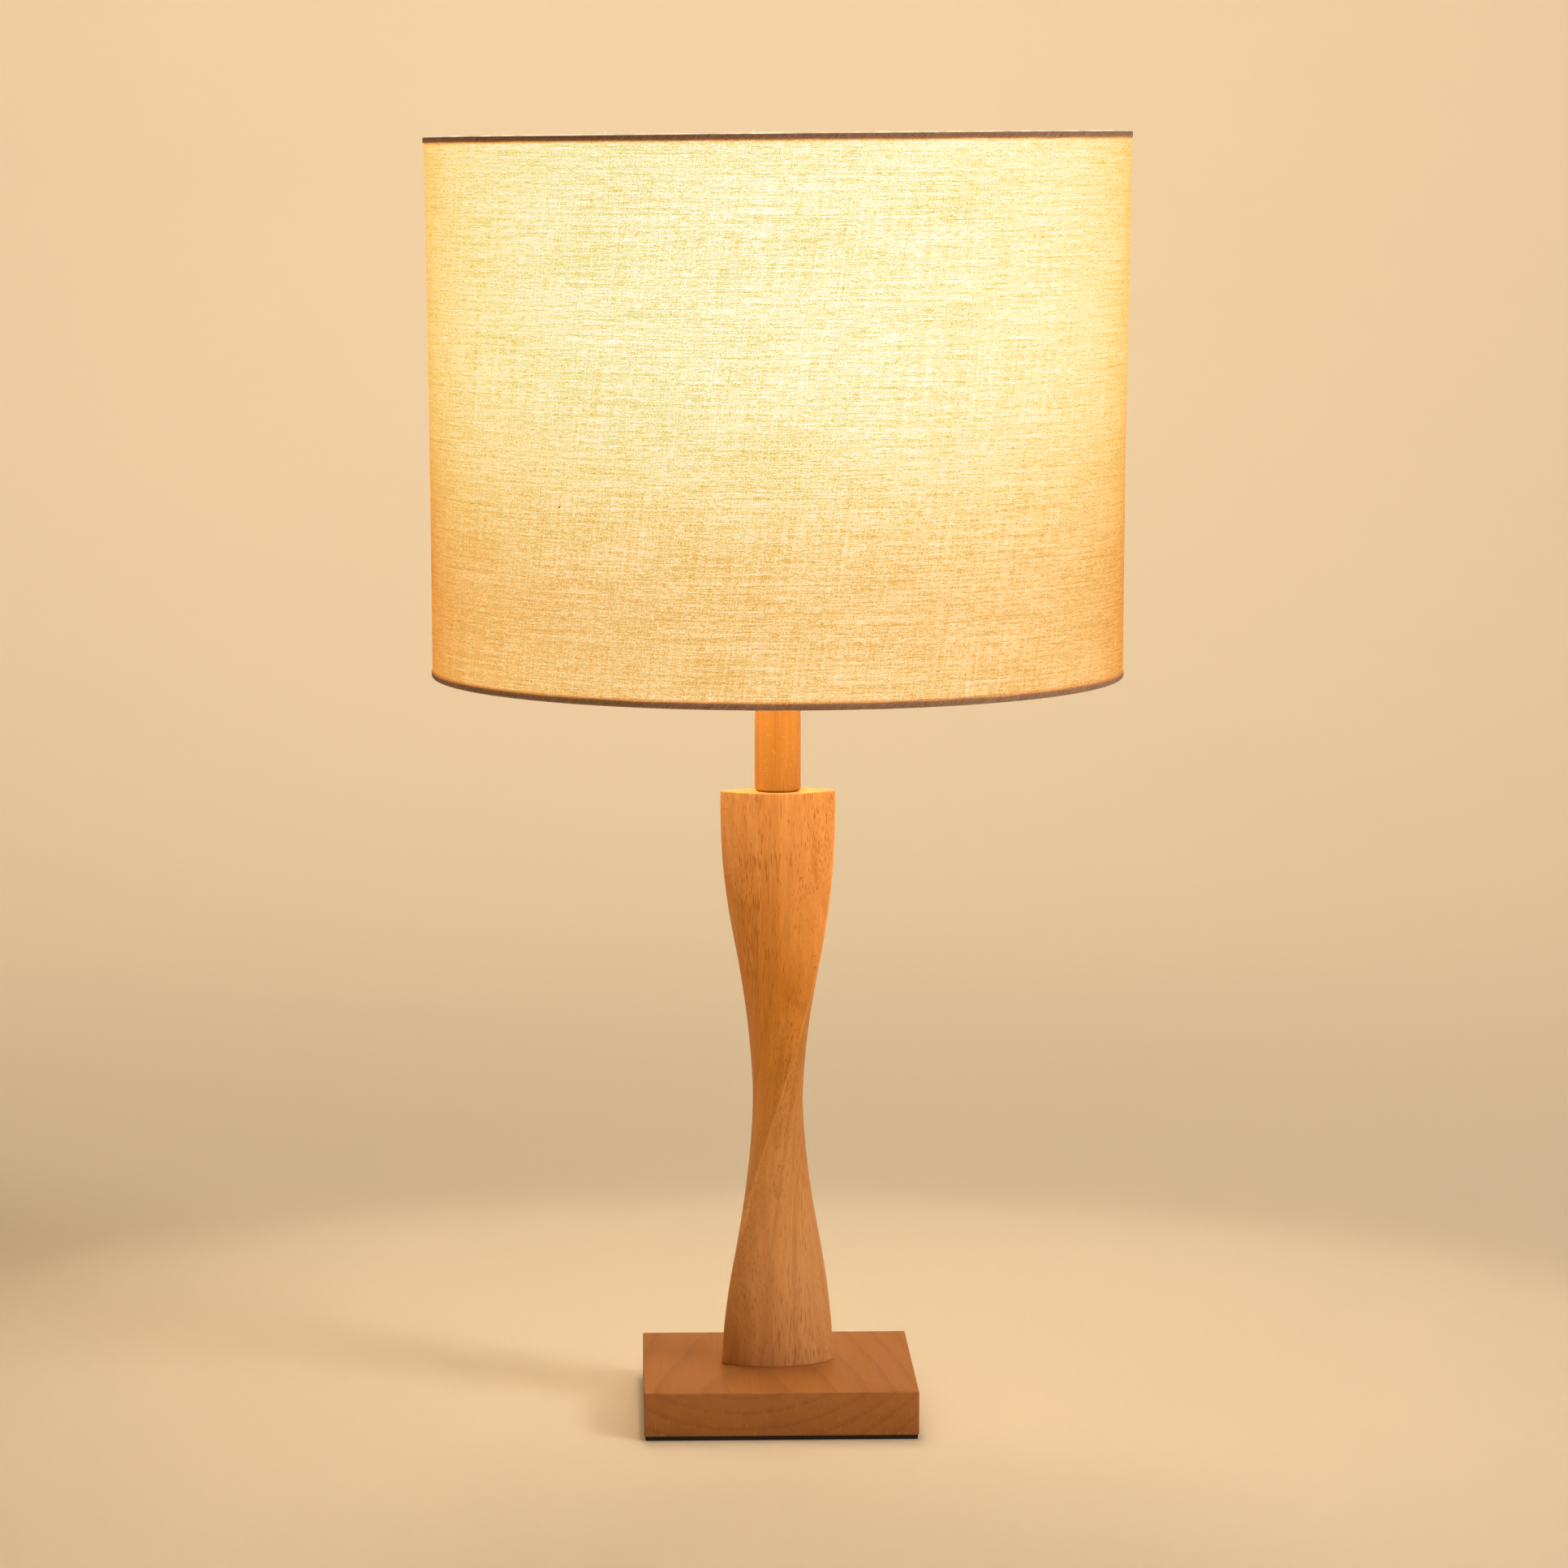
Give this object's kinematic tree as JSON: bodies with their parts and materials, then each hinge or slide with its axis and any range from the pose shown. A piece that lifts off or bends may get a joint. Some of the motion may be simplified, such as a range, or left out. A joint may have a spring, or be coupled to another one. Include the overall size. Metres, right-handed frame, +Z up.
{
  "type": "table lamp",
  "caption": "Table lamp with a square wooden base, a twisted wooden column and a tapered drum shade of natural linen, lit from inside.",
  "frame": {"origin": "centre of the underside of the foot pad, on the surface that the lamp stands on", "axes": "+Z up along the threaded tube; +Y to the back, where the cord inlet is; +X to the right seen from the front"},
  "size_m": [0.334, 0.334, 0.612],
  "materials": {
    "pad_rubber": "matt cut sheet",
    "base_wood": "satin clear lacquer over warm brown stain",
    "column_wood": "satin clear lacquer over light orange-tan stain",
    "neck_wood": "satin clear lacquer",
    "black_plastic": "moulded, matt",
    "zinc_steel": "zinc plated",
    "socket_brass": "satin brass plated",
    "contact_brass": "bright, stamped",
    "finial_brass": "polished, lacquered",
    "fibre_card": "pressed fibre",
    "bare_aluminium": "rolled",
    "white_plastic": "moulded, fine satin",
    "board_white": "white solder mask, lit",
    "lit_globe": "frosted diffuser, lit warm white",
    "frame_white": "white powder coat",
    "liner_plastic": "translucent white sheet",
    "shade_linen": "plain-weave natural linen, lit from inside",
    "trim_linen": "plain-weave linen folded over the rim, opaque"
  },
  "bodies": {
    "stand": {"foot_pad": "pad_rubber", "base_block": "base_wood", "cord_gland": "black_plastic", "clamp_washer": "zinc_steel", "clamp_nut": "zinc_steel", "threaded_tube": "zinc_steel", "twisted_column": "column_wood", "neck_dowel": "neck_wood", "check_ring": "socket_brass", "harp_saddle": "zinc_steel", "socket_cap": "socket_brass", "socket_shell": "socket_brass", "insulating_sleeve": "fibre_card", "socket_body": "black_plastic", "screw_shell": "bare_aluminium", "centre_contact": "contact_brass", "terminal_screws": "contact_brass"},
    "switch": {"switch_shaft": "contact_brass", "switch_knob": "black_plastic"},
    "bulb": {"bulb_screw_base": "bare_aluminium", "bulb_insulator": "black_plastic", "bulb_tip": "bare_aluminium", "bulb_housing": "white_plastic", "led_board": "board_white", "bulb_globe": "lit_globe"},
    "harp": {"harp_wire": "zinc_steel", "harp_stud": "socket_brass"},
    "left_sleeve": {"left_harp_sleeve": "socket_brass"},
    "right_sleeve": {"right_harp_sleeve": "socket_brass"},
    "shade": {"spider_hub": "frame_white", "spider_arms": "frame_white", "top_ring": "frame_white", "bottom_ring": "frame_white", "shade_liner": "liner_plastic", "shade_fabric": "shade_linen", "top_trim": "trim_linen", "bottom_trim": "trim_linen"},
    "finial": {"finial": "finial_brass"}
  },
  "joints": [
    {"name": "switch_turn", "type": "hinge", "parent": "stand", "child": "switch", "pos_m": [0, -0.02, 0.4181], "axis": [0, -1, 0], "continuous": true},
    {"name": "bulb_turn", "type": "hinge", "parent": "stand", "child": "bulb", "pos_m": [0, 0, 0.45], "axis": [0, 0, 1], "range_deg": [0, 1440]},
    {"name": "harp_lift", "type": "slide", "parent": "stand", "child": "harp", "axis": [0, 0, 1], "range_m": [0, 0.03]},
    {"name": "left_sleeve_slide", "type": "slide", "parent": "harp", "child": "left_sleeve", "axis": [0, 0, 1], "range_m": [0, 0.008]},
    {"name": "right_sleeve_slide", "type": "slide", "parent": "harp", "child": "right_sleeve", "axis": [0, 0, 1], "range_m": [0, 0.008]},
    {"name": "shade_turn", "type": "hinge", "parent": "harp", "child": "shade", "pos_m": [0, 0, 0.586], "axis": [0, 0, 1], "continuous": true},
    {"name": "finial_turn", "type": "hinge", "parent": "harp", "child": "finial", "pos_m": [0, 0, 0.59], "axis": [0, 0, 1], "range_deg": [0, 2160]}
  ]
}
